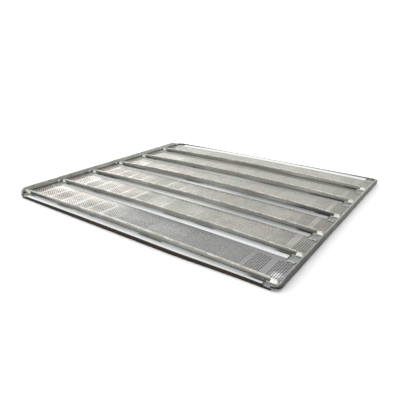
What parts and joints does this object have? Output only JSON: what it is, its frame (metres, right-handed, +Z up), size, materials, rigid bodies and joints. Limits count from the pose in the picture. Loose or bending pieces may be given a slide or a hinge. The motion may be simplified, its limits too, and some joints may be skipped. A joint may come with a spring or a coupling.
{
  "type": "baguette tray",
  "caption": "Shallow perforated baking tray of parallel channels with raised lips, riveted between bent side bars, for proving and baking long loaves.",
  "frame": {"origin": "centre of the tray's footprint, on the plane that its feet stand on", "axes": "+X along the channels to the right, +Y from the front rail to the back rail, +Z up"},
  "size_m": [0.675, 0.62, 0.0244],
  "materials": {
    "pan_sheet": "satin, stained by baking",
    "rail_sheet": "satin with a browned skirt",
    "bar_steel": "dull",
    "bracket_steel": "matte",
    "clip_steel": "bright satin",
    "rivet_steel": "bright"
  },
  "bodies": {
    "root": {"front_rail": "rail_sheet", "back_rail": "rail_sheet", "pan_1": "pan_sheet", "pan_2": "pan_sheet", "pan_3": "pan_sheet", "pan_4": "pan_sheet", "pan_5": "pan_sheet", "pan_6": "pan_sheet", "side_bar_left": "bar_steel", "side_bar_right": "bar_steel", "bracket_left_front": "bracket_steel", "bracket_left_1": "bracket_steel", "bracket_left_2": "bracket_steel", "bracket_left_3": "bracket_steel", "bracket_left_4": "bracket_steel", "bracket_left_5": "bracket_steel", "bracket_left_back": "bracket_steel", "bracket_right_front": "bracket_steel", "bracket_right_1": "bracket_steel", "bracket_right_2": "bracket_steel", "bracket_right_3": "bracket_steel", "bracket_right_4": "bracket_steel", "bracket_right_5": "bracket_steel", "bracket_right_back": "bracket_steel", "lip_clip_left_1": "clip_steel", "lip_clip_left_2": "clip_steel", "lip_clip_left_3": "clip_steel", "lip_clip_left_4": "clip_steel", "lip_clip_left_5": "clip_steel", "lip_clip_left_6": "clip_steel", "lip_clip_right_1": "clip_steel", "lip_clip_right_2": "clip_steel", "lip_clip_right_3": "clip_steel", "lip_clip_right_4": "clip_steel", "lip_clip_right_5": "clip_steel", "lip_clip_right_6": "clip_steel", "pan_hooks_left": "clip_steel", "bar_rivets_left": "rivet_steel", "pan_hooks_right": "clip_steel", "bar_rivets_right": "rivet_steel"}
  },
  "joints": []
}
